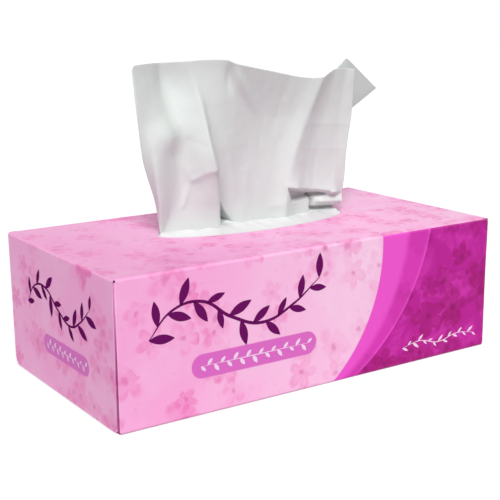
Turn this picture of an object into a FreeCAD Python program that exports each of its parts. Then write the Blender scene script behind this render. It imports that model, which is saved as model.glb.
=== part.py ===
import FreeCAD, Part
import math
import os
import re

import Sketcher
from FreeCAD import Vector

# A flat carton of facial tissues with the first tissue standing in its slot.
# Millimetres. The origin is the middle of the carton's underside, +Z is up,
# +X runs along the carton and the long front panel faces -Y.

doc = FreeCAD.newDocument("tissue_box")

# Driving dimensions

SIZES = (
    ("length", 230, "carton, end to end"),
    ("width", 122, "carton, front to back"),
    ("height", 73, "carton, floor to top panel"),
    ("board", 0.4, "thickness of the carton board"),
    ("fold_radius", 1.5, "outer radius of a fold in the board"),
    ("panel_lap", 3, "overlap of a flap's root with its panel"),
    ("seam_flap_rise", 16, "glued seam flap inside the back panel"),
    ("seam_edge_lift", 1.6, "free lower edge of the back panel above the floor"),
    ("dust_flap_depth", 42, "side flaps behind the end flaps"),
    ("inner_flap_rise", 58, "end flap that comes up from the bottom panel"),
    ("inner_flap_inset", 3, "its side edges inside the carton's sides"),
    ("outer_flap_inset", 0.7, "root of the outer end flap inside the carton's sides"),
    ("outer_flap_taper", 1.1, "how much further in its side edges end at the bottom"),
    ("outer_flap_lift", 0.9, "its lower edge above the floor"),
    ("outer_flap_corner", 5, "radius of its two free corners"),
    ("slot_length", 117, "oval slot in the top panel"),
    ("slot_width", 38, "oval slot, front to back"),
    ("slot_right", 3, "slot's middle to the right of the carton's middle"),
    ("slot_back", 4.5, "slot's middle behind the carton's middle"),
    ("film_gauge", 0.1, "thickness of the slit film"),
    ("film_margin", 10, "glued margin of the film round the slot"),
    ("film_rise", 1.6, "lips of the slit above the glued margin"),
    ("slit_margin", 0.8, "slit's ends inside the slot's ends"),
    ("lip_clearance", 0.35, "film lips to the standing tissue"),
    ("stack_clearance", 1.5, "tissue stack to the long panels"),
    ("stack_end_clearance", 7, "tissue stack to the end flaps"),
    ("stack_edge", 2.5, "radius of the stack's long folded edges"),
    ("headroom", 3.6, "from the stack up to the film"),
    ("ply", 0.36, "thickness of the standing tissue"),
    ("ply_clearance", 0.3, "tissue to what it lies on or stands beside"),
    ("tissue_bend", 2.2, "radius at which the tissue turns up into the slit"),
    ("tissue_stand", 88, "tallest point of the tissue above the top panel"),
    ("slit_ease", 1.6, "tissue's side edges inside the slit's ends"),
)

sheet = doc.addObject("Spreadsheet::Sheet", "sizes")
for row, (name, amount, meaning) in enumerate(SIZES, start=1):
    sheet.set(f"A{row}", meaning)
    sheet.set(f"B{row}", str(amount))
    sheet.setAlias(f"B{row}", name)
doc.recompute()


def bound(formula):
    """Writes a formula of size names as an expression on the sheet."""
    return re.sub(r"[a-z][a-z_]+", lambda word: "sizes." + word.group(), formula)


def size(formula):
    """Works out a formula of size names as a number."""
    result = sheet.evalExpression(bound(formula))
    return float(getattr(result, "Value", result))


# Sketch and feature helpers

def new_body(name):
    body = doc.addObject("PartDesign::Body", name)
    body.Label = name
    return body


def new_sketch(body, name, plane_role, offset="0"):
    """Attaches a sketch to one of the body's origin planes, moved along its normal."""
    plane = next(item for item in body.Origin.OriginFeatures if item.Role == plane_role)
    sketch = body.newObject("Sketcher::SketchObject", name)
    sketch.AttachmentSupport = [(plane, "")]
    sketch.MapMode = "FlatFace"
    sketch.setExpression("AttachmentOffset.Base.z", bound(offset))
    return sketch


def hold(sketch, kind, places, formula):
    """Adds one dimension to a sketch and ties it to the sheet."""
    index = sketch.addConstraint(Sketcher.Constraint(kind, *places, size(formula)))
    sketch.setExpression(f"Constraints[{index}]", bound(formula))


def hold_point(sketch, shape, end, across, up):
    hold(sketch, "DistanceX", (-1, 1, shape, end), across)
    hold(sketch, "DistanceY", (-1, 1, shape, end), up)


def draw_outline(sketch, corners):
    """Draws a closed outline. A corner is (across, up, radius), with no radius where it is sharp."""
    points = [Vector(size(across), size(up), 0) for across, up, radius in corners]
    count = len(points)
    arc_starts, arc_ends = [], []
    for i, (across, up, radius) in enumerate(corners):
        into = (points[i] - points[i - 1]).normalize()
        out = (points[(i + 1) % count] - points[i]).normalize()
        reach = size(radius) * math.tan(into.getAngle(out) / 2) if radius else 0
        arc_starts.append(points[i] - into * reach)
        arc_ends.append(points[i] + out * reach)
    sides = [
        sketch.addGeometry(Part.LineSegment(arc_ends[i], arc_starts[(i + 1) % count]), False)
        for i in range(count)
    ]
    for i, (across, up, radius) in enumerate(corners):
        before, after = sides[i - 1], sides[i]
        if not radius:
            sketch.addConstraint(Sketcher.Constraint("Coincident", before, 2, after, 1))
            hold_point(sketch, after, 1, across, up)
            continue
        chord_middle = (arc_starts[i] + arc_ends[i]) / 2
        to_centre = (chord_middle - points[i]).normalize()
        half_chord = (arc_ends[i] - arc_starts[i]).Length / 2
        sagitta = size(radius) - math.sqrt(max(size(radius) ** 2 - half_chord ** 2, 0))
        crown = chord_middle - to_centre * sagitta
        arc = sketch.addGeometry(Part.Arc(arc_starts[i], crown, arc_ends[i]), False)
        turned = sketch.getPoint(arc, 1).distanceToPoint(arc_starts[i]) > half_chord
        near, far = (2, 1) if turned else (1, 2)
        sketch.addConstraint(Sketcher.Constraint("Tangent", before, 2, arc, near))
        sketch.addConstraint(Sketcher.Constraint("Tangent", arc, far, after, 1))
        hold(sketch, "Radius", (arc,), radius)
        corner = sketch.addGeometry(Part.Point(points[i]), True)
        sketch.addConstraint(Sketcher.Constraint("PointOnObject", corner, 1, before))
        sketch.addConstraint(Sketcher.Constraint("PointOnObject", corner, 1, after))
        hold_point(sketch, corner, 1, across, up)


def pad(body, name, sketch, depth, both_ways=False):
    feature = body.newObject("PartDesign::Pad", name)
    feature.Profile = sketch
    feature.setExpression("Length", bound(depth))
    if both_ways:
        feature.SideType = "Symmetric"
    return feature


# Carton: one folded and glued blank

carton = new_body("carton")

# The tube of four panels. Its last fold carries the seam flap, which is glued
# inside the back panel, whose free lower edge ends just above the floor.
tube = new_sketch(carton, "tube_section", "YZ_Plane")
draw_outline(tube, (
    ("width / 2", "seam_edge_lift", None),
    ("width / 2", "height", "fold_radius"),
    ("-width / 2", "height", "fold_radius"),
    ("-width / 2", "0", "fold_radius"),
    ("width / 2 - board", "0", "fold_radius - board"),
    ("width / 2 - board", "seam_edge_lift", None),
))
draw_outline(tube, (
    ("width / 2 - board", "height - board", "fold_radius - board"),
    ("-width / 2 + board", "height - board", "fold_radius - board"),
    ("-width / 2 + board", "board", "fold_radius - board"),
    ("width / 2 - 2 * board", "board", "fold_radius - 2 * board"),
    ("width / 2 - 2 * board", "seam_flap_rise", None),
    ("width / 2 - board", "seam_flap_rise", None),
))
pad(carton, "tube", tube, "length - 2 * fold_radius", both_ways=True)

# The flaps of both ends lie in three layers, each fold inside the next.
dust = new_sketch(carton, "dust_flap_sections", "XY_Plane", "fold_radius")
inner = new_sketch(carton, "inner_flap_sections", "XZ_Plane")
outer = new_sketch(carton, "outer_flap_roots", "XZ_Plane")
for end in ("-1", "1"):
    for side in ("-1", "1"):
        draw_outline(dust, (
            (f"{end} * (length / 2 - fold_radius - panel_lap)", f"{side} * width / 2", None),
            (f"{end} * (length / 2 - 2 * board)", f"{side} * width / 2", "fold_radius - 2 * board"),
            (f"{end} * (length / 2 - 2 * board)", f"{side} * (width / 2 - dust_flap_depth)", None),
            (f"{end} * (length / 2 - 3 * board)", f"{side} * (width / 2 - dust_flap_depth)", None),
            (f"{end} * (length / 2 - 3 * board)", f"{side} * (width / 2 - board)",
             "fold_radius - 3 * board"),
            (f"{end} * (length / 2 - fold_radius - panel_lap)", f"{side} * (width / 2 - board)", None),
        ))
    draw_outline(inner, (
        (f"{end} * (length / 2 - fold_radius - panel_lap)", "0", None),
        (f"{end} * (length / 2 - board)", "0", "fold_radius - board"),
        (f"{end} * (length / 2 - board)", "inner_flap_rise", None),
        (f"{end} * (length / 2 - 2 * board)", "inner_flap_rise", None),
        (f"{end} * (length / 2 - 2 * board)", "board", "fold_radius - 2 * board"),
        (f"{end} * (length / 2 - fold_radius - panel_lap)", "board", None),
    ))
    draw_outline(outer, (
        (f"{end} * (length / 2 - fold_radius - panel_lap)", "height", None),
        (f"{end} * length / 2", "height", "fold_radius"),
        (f"{end} * length / 2", "height - fold_radius - panel_lap", None),
        (f"{end} * (length / 2 - board)", "height - fold_radius - panel_lap", None),
        (f"{end} * (length / 2 - board)", "height - board", "fold_radius - board"),
        (f"{end} * (length / 2 - fold_radius - panel_lap)", "height - board", None),
    ))
pad(carton, "dust_flaps", dust, "height - 2 * fold_radius")
pad(carton, "inner_flaps", inner, "width - 2 * inner_flap_inset", both_ways=True)
pad(carton, "outer_flap_folds", outer, "width - 2 * outer_flap_inset", both_ways=True)

# Each outer flap narrows a little towards its free edge and has rounded corners.
for name, plane_offset in (
    ("left_outer_flap", "-length / 2"),
    ("right_outer_flap", "length / 2 - board"),
):
    flap = new_sketch(carton, name + "_outline", "YZ_Plane", plane_offset)
    root = "width / 2 - outer_flap_inset"
    foot = "width / 2 - outer_flap_inset - outer_flap_taper"
    draw_outline(flap, (
        (f"-1 * ({root})", "height - fold_radius", None),
        (f"-1 * ({foot})", "outer_flap_lift", "outer_flap_corner"),
        (foot, "outer_flap_lift", "outer_flap_corner"),
        (root, "height - fold_radius", None),
    ))
    pad(carton, name, flap, "board")

# The slot is cut through the top panel alone.
slot = new_sketch(carton, "slot_outline", "XY_Plane", "height")
slot_middle = Vector(size("slot_right"), size("slot_back"), 0)
oval = slot.addGeometry(
    Part.Ellipse(slot_middle, size("slot_length / 2"), size("slot_width / 2")), False
)
slot.exposeInternalGeometry(oval)
long_axis, short_axis = oval + 1, oval + 2
slot.addConstraint(Sketcher.Constraint("Horizontal", long_axis))
hold(slot, "Distance", (long_axis,), "slot_length")
hold(slot, "Distance", (short_axis,), "slot_width")
hold_point(slot, oval, 3, "slot_right", "slot_back")
doc.recompute()
closed_volume = carton.Shape.Volume
cut = carton.newObject("PartDesign::Pocket", "slot")
cut.Profile = slot
cut.setExpression("Length", bound("2 * board"))
doc.recompute()
slot_area = math.pi * size("slot_length / 2") * size("slot_width / 2")
slot_error = closed_volume - carton.Shape.Volume - slot_area * size("board")
if abs(slot_error) > 0.01 * slot_area * size("board"):
    raise RuntimeError("the slot doesn't cut the top panel")

# Tissue stack: the interfolded leaves as one block on the bottom panel

tissue_stack = new_body("tissue_stack")
block = new_sketch(tissue_stack, "stack_section", "YZ_Plane")
stack_top = "height - board - film_gauge - headroom"
stack_front = "-width / 2 + board + stack_clearance"
stack_back = "width / 2 - 2 * board - stack_clearance"
draw_outline(block, (
    (stack_front, "board", "stack_edge"),
    (stack_back, "board", "stack_edge"),
    (stack_back, stack_top, "stack_edge"),
    (stack_front, stack_top, "stack_edge"),
))
stack_length = "length - 6 * board - 2 * stack_end_clearance"
pad(tissue_stack, "stack", block, stack_length, both_ways=True)
doc.recompute()


# Thin sheets: the film and the standing tissue

def thickened(faces, step):
    """Closes a skin into a solid: the skin, its copy moved by step, and a wall along its rim."""
    skin = Part.makeShell(faces)
    skin.sewShape()
    rim = [edge for edge in skin.Edges if len(skin.ancestorsOfType(edge, Part.Face)) == 1]
    walls = [edge.extrude(step) for edge in rim]
    shell = Part.makeShell(skin.Faces + skin.translated(step).Faces + walls)
    shell.sewShape()
    solid = Part.makeSolid(shell)
    if solid.Volume < 0:
        solid.reverse()
    return solid


def add_sheet(name, faces, step):
    feature = doc.addObject("Part::Feature", name)
    feature.Label = name
    feature.Shape = thickened(faces, step)
    feature.Placement = FreeCAD.Placement()
    return feature


# Fold lines of the standing tissue, left to right. Each runs from a place in
# the slit over its waist to a place on the free top edge. Places are along the slit and in
# front of (-) or behind (+) its line; the drop is below the tissue's tallest point.
# (name, place in the slit, place at the waist, place at the top edge, drop)
FOLD_LINES = (
    ("left hem", (-1.00, 1.5), (-67, -3), (-75, -6), 4.4),
    ("left valley", (-0.90, 2.0), (-43.3, 4.5), (-57.6, 0.5), 0.2),
    ("left ridge", (-0.41, -3.0), (-29.7, -4.5), (-40.8, -8), 0.0),
    ("tuck behind the ridge", (-0.29, 3.2), (-24.9, -1.5), (-35, -7), 0.0),
    ("middle valley", (-0.15, 0.5), (-13.7, 0), (-21.3, -9), 0.2),
    ("middle crease", (-0.04, 0.0), (-1.8, 1), (-16, -10), 1.8),
    ("middle panel", (0.08, 0.0), (8.7, 2), (2.6, -10), 5.7),
    ("right slope", (0.25, -0.5), (18, 0.5), (29.8, -9), 10.9),
    ("right ridge", (0.35, -3.0), (24.9, -5), (38.2, -12), 7.8),
    ("right valley", (0.54, 1.0), (38.4, -0.5), (47, -9.5), 5.5),
    ("right panel", (0.77, 1.0), (49.7, 0), (54.3, -8), 4.3),
    ("right strip", (0.91, 0.0), (56, 0.5), (58.6, -5), 5.4),
    ("right fold", (0.96, -1.0), (61, -3), (64, -9), 7.3),
    ("turned corner", (1.00, 0.2), (63, -1), (90, 6), 20.6),
)

lip_level = size("height - board - film_gauge + film_rise")
slit_half = size("slot_length / 2 - slit_margin")
foot_half = slit_half - size("slit_ease")
lay_half = size(stack_length) / 2
lay_level = size(stack_top) + size("ply_clearance")
lay_back = size(stack_back) - size("ply_clearance") - size("ply")
bend = size("tissue_bend")
ply_step = Vector(0, 1, 1).normalize() * size("ply")


def foot_place(place):
    """Where a fold line stands in the slit, at the level of the glued film."""
    along, behind = place
    return slot_middle + Vector(along * foot_half, behind, 0)


def fold_line(place, waist, top, drop):
    """One fold line as four edges: along the stack, round the bend, up the slit and to the top."""
    foot = foot_place(place)
    spread = Vector(place[0] * lay_half, lay_back, lay_level)
    lying = Vector(foot.x, foot.y + bend, lay_level)
    turning = Vector(
        foot.x,
        foot.y + bend * (1 - math.cos(math.pi / 4)),
        lay_level + bend * (1 - math.sin(math.pi / 4)),
    )
    rising = Vector(foot.x, foot.y, lay_level + bend)
    leaving = Vector(foot.x, foot.y, lip_level + size("ply"))
    tip = Vector(
        slot_middle.x + top[0], slot_middle.y + top[1], size("height + tissue_stand") - drop
    )
    upright = Vector(foot.x, foot.y, leaving.z + (tip.z - leaving.z) / 4)
    through = slot_middle + Vector(waist[0], waist[1], 0)
    pull = (through * 8 - foot * 4 - tip) / 3
    free_edge = Part.BezierCurve()
    free_edge.setPoles([leaving, upright, Vector(pull.x, pull.y, (upright.z + tip.z) / 2), tip])
    return [
        Part.makeLine(spread, lying),
        Part.Arc(lying, turning, rising).toShape(),
        Part.makeLine(rising, leaving),
        free_edge.toShape(),
    ]


# The panels between neighbouring fold lines are ruled from line to line.
lines = [fold_line(*form) for name, *form in FOLD_LINES]
tissue_faces = [
    Part.makeRuledSurface(left, right)
    for left_line, right_line in zip(lines, lines[1:])
    for left, right in zip(left_line, right_line)
]
top_tissue = add_sheet("top_tissue", tissue_faces, ply_step)


# The film is flat where it is glued and rises gently to the two lips of the
# slit, which follow the tissue's folds in front and behind.
film_level = size("height - board - film_gauge")
film_middle = slot_middle + Vector(0, 0, film_level)
slot_curve = Part.Ellipse(film_middle, size("slot_length / 2"), size("slot_width / 2"))


def lip_faces(side):
    """The film between the slot's edge and one lip: side -1 is the front, 1 the back."""
    gap = -size("lip_clearance") if side < 0 else ply_step.y + size("lip_clearance")
    slit_ends = [slot_middle + Vector(end * slit_half, 0, lip_level) for end in (-1, 1)]
    lip = [slit_ends[0]]
    for name, place, *rest in FOLD_LINES:
        lip.append(foot_place(place) + Vector(0, gap, lip_level))
    lip.append(slit_ends[1])
    faces, slot_edges = [], []
    for start, finish in zip(lip, lip[1:]):
        angles = []
        for point in (start, finish):
            share = max(-1, min(1, (point.x - slot_middle.x) / slit_half))
            angles.append(side * math.acos(share) % (2 * math.pi))
        if side < 0 and angles[1] == 0:
            angles[1] = 2 * math.pi
        low, high = sorted(angles)
        edge = Part.ArcOfEllipse(slot_curve, low, high).toShape()
        backwards = edge.valueAt(edge.FirstParameter).x > edge.valueAt(edge.LastParameter).x
        lip_edge = Part.makeLine(finish, start) if backwards else Part.makeLine(start, finish)
        faces.append(Part.makeRuledSurface(edge, lip_edge))
        slot_edges.append(edge)
    return faces, slot_edges


front_faces, front_edges = lip_faces(-1)
back_faces, back_edges = lip_faces(1)
reach_x = size("slot_length / 2 + film_margin")
reach_y = size("slot_width / 2 + film_margin")
rim_corners = [
    film_middle + Vector(across * reach_x, back * reach_y, 0)
    for across, back in ((-1, -1), (1, -1), (1, 1), (-1, 1), (-1, -1))
]
film_rim = Part.makePolygon(rim_corners)
slot_ring = Part.Wire(Part.__sortEdges__(front_edges + back_edges))
margin = Part.makeFace([film_rim, slot_ring], "Part::FaceMakerBullseye")
film = add_sheet("film", front_faces + back_faces + [margin], Vector(0, 0, size("film_gauge")))
doc.recompute()

# Checks and files

for item in doc.Objects:
    if {"Invalid", "Error"} & set(item.State):
        raise RuntimeError(f"{item.Name} failed: {item.State}")

os.makedirs("parts", exist_ok=True)
for piece in (carton, film, tissue_stack, top_tissue):
    shape = piece.Shape
    if shape.isNull() or not shape.isValid():
        raise RuntimeError(f"{piece.Label} has no valid shape")
    if len(shape.Solids) != 1:
        raise RuntimeError(f"{piece.Label} has {len(shape.Solids)} solids")
    box = shape.BoundBox
    print(
        f"{piece.Label}: {shape.Volume / 1000:.2f} cm3, "
        f"{box.XLength:.1f} x {box.YLength:.1f} x {box.ZLength:.1f} mm, "
        f"z {box.ZMin:.2f} to {box.ZMax:.2f}"
    )
    shape.exportStep(f"parts/{piece.Label}.step")
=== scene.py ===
# %% [markdown]
# A flat carton of facial tissues with the first tissue standing in its slot.
# The carton, the slit film, the block of tissues and the standing tissue come
# in as a fixed frame. This lesson gives the carton its print, makes the film
# and the standing tissue as thin wrinkled sheets, and lights the result.

# %% Load the frame
import math
import random
from types import SimpleNamespace

import bpy
import numpy as np
from mathutils import Matrix, Vector, noise
from mathutils.bvhtree import BVHTree


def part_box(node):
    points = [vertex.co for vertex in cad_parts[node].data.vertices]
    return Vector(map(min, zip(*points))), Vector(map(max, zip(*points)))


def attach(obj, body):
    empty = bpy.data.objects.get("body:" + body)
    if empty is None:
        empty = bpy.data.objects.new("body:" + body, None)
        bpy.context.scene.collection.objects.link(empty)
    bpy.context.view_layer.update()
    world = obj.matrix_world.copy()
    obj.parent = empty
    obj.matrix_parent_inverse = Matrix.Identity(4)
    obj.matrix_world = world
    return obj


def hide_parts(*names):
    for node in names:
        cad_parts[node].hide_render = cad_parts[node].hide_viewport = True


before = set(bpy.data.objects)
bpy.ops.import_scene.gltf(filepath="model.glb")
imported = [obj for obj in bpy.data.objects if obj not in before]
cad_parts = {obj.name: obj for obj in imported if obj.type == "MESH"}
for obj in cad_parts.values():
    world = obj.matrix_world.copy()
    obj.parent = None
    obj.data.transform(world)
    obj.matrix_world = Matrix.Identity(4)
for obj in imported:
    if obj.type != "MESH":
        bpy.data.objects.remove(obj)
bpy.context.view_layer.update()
print("nodes:", sorted(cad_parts))

# %% Sizes of the carton, read from the frame
MM = 0.001
_, (HALF_LENGTH, HALF_WIDTH, HEIGHT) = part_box("carton")
BOARD = 0.4 * MM
SLOT_MIDDLE = Vector((3 * MM, 4.5 * MM, 0))
SLOT_HALF = (58.5 * MM, 19 * MM)
carton_size = [round(size / MM) for size in (2 * HALF_LENGTH, 2 * HALF_WIDTH, HEIGHT)]
print("carton, mm:", carton_size)

# %% [markdown]
# The camera stands in front of the carton's left corner, a little above it,
# with a longer lens than normal, so that the long sides converge only gently.
# Its place and turn were found from the corners of the carton in the picture.

# %% Camera
SENSOR = 36.0
FOCAL_PIXELS, PICTURE_PIXELS = 1087.6, 500
LENS = SENSOR * FOCAL_PIXELS / PICTURE_PIXELS
NEAREST, FURTHEST = 0.01, 30
CAMERA_PLACE = Vector((-0.3186, -0.4755, 0.1937))
CAMERA_AZIMUTH, CAMERA_TILT, CAMERA_ROLL = (math.radians(a) for a in (-33.63, 13.24, -0.47))


def placed(name, data):
    """A new object at the origin, put into the scene."""
    thing = bpy.data.objects.new(name, data)
    bpy.context.collection.objects.link(thing)
    return thing


def direction(azimuth, height):
    """The way out from the carton, so far round it from its front and so far up, in radians."""
    return Vector((
        math.sin(azimuth) * math.cos(height),
        -math.cos(azimuth) * math.cos(height),
        math.sin(height),
    ))


def camera_turn(azimuth, tilt, roll):
    """The camera's axes: its right, its up and the way back towards it."""
    back = direction(azimuth, tilt)
    level = (-back).cross(Vector((0, 0, 1))).normalized()
    upright = level.cross(-back)
    right = level * math.cos(roll) + upright * math.sin(roll)
    up = upright * math.cos(roll) - level * math.sin(roll)
    return Matrix((right, up, back)).transposed()


camera_data = bpy.data.cameras.new("camera")
camera_data.sensor_width = SENSOR
camera_data.lens = LENS
camera_data.clip_start, camera_data.clip_end = NEAREST, FURTHEST
camera = placed("camera", camera_data)
camera.matrix_world = Matrix.LocRotScale(
    CAMERA_PLACE,
    camera_turn(CAMERA_AZIMUTH, CAMERA_TILT, CAMERA_ROLL).to_quaternion(),
    None,
)
bpy.context.scene.camera = camera
print("lens, mm:", round(LENS, 1))

# %% [markdown]
# Shader nodes are wired with a few small helpers, so that each material below
# reads as one formula after another. A value can be a number or a socket.

# %% Helpers for shader nodes


def feed(tree, value, socket):
    """Wires a socket to an input, or writes a plain value into it."""
    if isinstance(value, bpy.types.NodeSocket):
        tree.links.new(value, socket)
    else:
        socket.default_value = value


def calc(tree, operation, *values, clamp=False):
    """One Math node."""
    node = tree.nodes.new("ShaderNodeMath")
    node.operation = operation
    node.use_clamp = clamp
    for value, socket in zip(values, node.inputs):
        feed(tree, value, socket)
    return node.outputs[0]


def times(tree, first, *others):
    """The product of several values."""
    for value in others:
        first = calc(tree, "MULTIPLY", first, value)
    return first


def step(tree, value, low, high, start=0.0, end=1.0):
    """Goes smoothly from start to end while value goes from low to high."""
    node = tree.nodes.new("ShaderNodeMapRange")
    node.interpolation_type = "SMOOTHSTEP"
    for name, amount in (
        ("Value", value), ("From Min", low), ("From Max", high), ("To Min", start), ("To Max", end)
    ):
        feed(tree, amount, node.inputs[name])
    return node.outputs["Result"]


def blend(tree, share, first, second):
    """Mixes two colours."""
    node = tree.nodes.new("ShaderNodeMix")
    node.data_type = "RGBA"
    feed(tree, share, node.inputs["Factor"])
    feed(tree, first, node.inputs["A"])
    feed(tree, second, node.inputs["B"])
    return node.outputs["Result"]


def pair(tree, across, up, depth=0.0):
    """Makes one vector out of two numbers."""
    node = tree.nodes.new("ShaderNodeCombineXYZ")
    for value, socket in zip((across, up, depth), node.inputs):
        feed(tree, value, socket)
    return node.outputs[0]


def split(tree, vector):
    """The three numbers of a vector."""
    node = tree.nodes.new("ShaderNodeSeparateXYZ")
    feed(tree, vector, node.inputs[0])
    return node.outputs


def distance(tree, across, up):
    """How far a place is from the middle of its coordinates."""
    squares = [times(tree, value, value) for value in (across, up)]
    return calc(tree, "SQRT", calc(tree, "ADD", *squares))


def cloud(tree, place, scale, detail=2.0, roughness=0.5, distortion=0.0):
    """A noise from 0 to 1."""
    node = tree.nodes.new("ShaderNodeTexNoise")
    feed(tree, place, node.inputs["Vector"])
    for name, amount in (
        ("Scale", scale), ("Detail", detail), ("Roughness", roughness), ("Distortion", distortion)
    ):
        node.inputs[name].default_value = amount
    return node.outputs["Fac"]


def patchy(tree, place, numbers, levels):
    """A noise that shows only between two of its levels."""
    return step(tree, cloud(tree, place, *numbers), *levels)


def srgb(red, green, blue):
    """A colour as a paint chart gives it, from 0 to 255, in the light values that shaders take."""
    linear = [
        c / 12.92 if c <= 0.04045 else ((c + 0.055) / 1.055) ** 2.4
        for c in (red / 255, green / 255, blue / 255)
    ]
    return (*linear, 1.0)


def new_material(name, roughness, specular):
    """A material without a colour yet: itself, its tree and its surface shader."""
    material = bpy.data.materials.new(name)
    material.use_nodes = True
    shader = material.node_tree.nodes["Principled BSDF"]
    shader.inputs["Roughness"].default_value = roughness
    shader.inputs["Specular IOR Level"].default_value = specular
    return material, material.node_tree, shader


def add_bump(tree, shader, heights, depth):
    """Raises the surface by a height map, with depth in metres."""
    node = tree.nodes.new("ShaderNodeBump")
    node.inputs["Distance"].default_value = depth
    feed(tree, heights, node.inputs["Height"])
    tree.links.new(node.outputs["Normal"], shader.inputs["Normal"])


# %% [markdown]
# The print runs round the carton: up the front, over the top and down the
# back, and round both ends. Pattern coordinates that unfold the carton keep
# the blossoms at one size on every panel, with no stretched one at a fold.
# Which panel a point is on is read from the way its surface faces.

# %% Unfold the carton into flat pattern coordinates
PANEL_SLANT = 0.7  # how far a normal leans towards the panel that its surface belongs to


def unfolded(tree):
    """Places on the board in millimetres, flat ones too, and a mask for each panel."""
    place = tree.nodes.new("ShaderNodeTexCoord").outputs["Object"]
    x, y, z = (times(tree, socket, 1 / MM) for socket in split(tree, place))
    normal = tree.nodes.new("ShaderNodeNewGeometry").outputs["Normal"]
    facing_x, facing_y, facing_z = split(tree, normal)
    at = SimpleNamespace(
        x=x, y=y, z=z,
        top=calc(tree, "GREATER_THAN", facing_z, PANEL_SLANT),
        bottom=calc(tree, "LESS_THAN", facing_z, -PANEL_SLANT),
        back=calc(tree, "GREATER_THAN", facing_y, PANEL_SLANT),
        front=calc(tree, "LESS_THAN", facing_y, -PANEL_SLANT),
        end=calc(tree, "GREATER_THAN", calc(tree, "ABSOLUTE", facing_x), PANEL_SLANT),
    )
    width, height = 2 * HALF_WIDTH / MM, HEIGHT / MM
    from_front = calc(tree, "ADD", y, width / 2)
    round_it = z
    for share, value in (
        (at.top, calc(tree, "ADD", from_front, height)),
        (at.bottom, times(tree, from_front, -1.0)),
        (at.back, calc(tree, "SUBTRACT", 2 * height + width, z)),
    ):
        change = times(tree, share, calc(tree, "SUBTRACT", value, round_it))
        round_it = calc(tree, "ADD", round_it, change)
    past_end = times(tree, calc(tree, "SIGN", x), from_front, at.end)
    at.flat = (calc(tree, "ADD", x, past_end), round_it)
    at.sheet = pair(tree, *at.flat)
    sideways = calc(tree, "ADD", times(tree, x, facing_x), times(tree, y, facing_y))
    upwards = times(tree, calc(tree, "SUBTRACT", z, height / 2), facing_z)
    at.inner = calc(tree, "LESS_THAN", calc(tree, "ADD", sideways, upwards), 0.0)
    return at


# %% [markdown]
# Watercolour blossoms: a Voronoi pattern gives every cell a middle, and the
# angle and distance from that middle give a flower of five petals. Bending
# the coordinates with a noise first makes each flower's edge run like wet
# paint, and a second noise makes its wash uneven.

# %% Blossoms from a Voronoi pattern
RUN_SCALE, RUN_DETAIL = 0.16, 4.0
CELL_DISORDER = 0.8
PETALS = 5
ANY_TURN = 6.3  # radians
PETAL_ROUND, PETAL_DIP = 0.7, 0.4
FLOWER_REACH = (0.2, 0.36)  # what chance adds, and the least, in cells
PETAL_EDGE = (-0.07, 0.12)
WASH_HOLLOW = (0.0, 0.22, 1.0, 0.55)  # inwards from the petals' edge the wash gets thinner
WASH_STRENGTH = (0.4, 0.6)
HEART_EDGE = (0.12, 0.03)


def bent(tree, along, up, amount):
    """The flat coordinates, moved to and fro a little, as ink runs on wet paper."""
    runs = tree.nodes.new("ShaderNodeTexNoise")
    feed(tree, pair(tree, along, up), runs.inputs["Vector"])
    runs.inputs["Scale"].default_value = RUN_SCALE
    runs.inputs["Detail"].default_value = RUN_DETAIL
    return [
        calc(tree, "MULTIPLY_ADD", calc(tree, "SUBTRACT", bend, 0.5), amount, value)
        for value, bend in zip((along, up), split(tree, runs.outputs["Color"]))
    ]


def blossoms(tree, flat, cell, offset, share):
    """Flowers, one at most to a cell of that many millimetres: their wash and their hearts."""
    moved = [calc(tree, "MULTIPLY_ADD", value, 1 / cell, offset) for value in flat]
    cells = tree.nodes.new("ShaderNodeTexVoronoi")
    cells.voronoi_dimensions = "2D"
    cells.inputs["Scale"].default_value = 1.0
    cells.inputs["Randomness"].default_value = CELL_DISORDER
    feed(tree, pair(tree, *moved), cells.inputs["Vector"])
    chance = tree.nodes.new("ShaderNodeSeparateColor")
    feed(tree, cells.outputs["Color"], chance.inputs[0])
    turn, strength, growth = chance.outputs
    across, above = (
        calc(tree, "SUBTRACT", value, middle)
        for value, middle in zip(moved, split(tree, cells.outputs["Position"]))
    )
    away = distance(tree, across, above)
    angle = calc(tree, "MULTIPLY_ADD", turn, ANY_TURN, calc(tree, "ARCTAN2", above, across))
    wave = calc(tree, "ABSOLUTE", calc(tree, "COSINE", times(tree, angle, PETALS / 2)))
    lobes = calc(tree, "POWER", wave, PETAL_ROUND)
    lobes = calc(tree, "MULTIPLY_ADD", lobes, 1 - PETAL_DIP, PETAL_DIP)
    reach = times(tree, lobes, calc(tree, "MULTIPLY_ADD", growth, *FLOWER_REACH))
    inside = calc(tree, "SUBTRACT", reach, away)
    there = step(tree, strength, 1.0 - share, 1.1 - share)
    wash = times(tree, step(tree, inside, *PETAL_EDGE), there, step(tree, inside, *WASH_HOLLOW),
                 calc(tree, "MULTIPLY_ADD", turn, *WASH_STRENGTH))
    heart = times(tree, step(tree, away, *HEART_EDGE), there)
    return wash, heart


# %% [markdown]
# The front has three curved fields of magenta on its right, each inside a
# large circle whose middle is up and to the left, and a plain rounded bar on
# the left. The ends have a smaller bar. The fields are simple shapes worked
# out from distances, so they need no picture.

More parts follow.
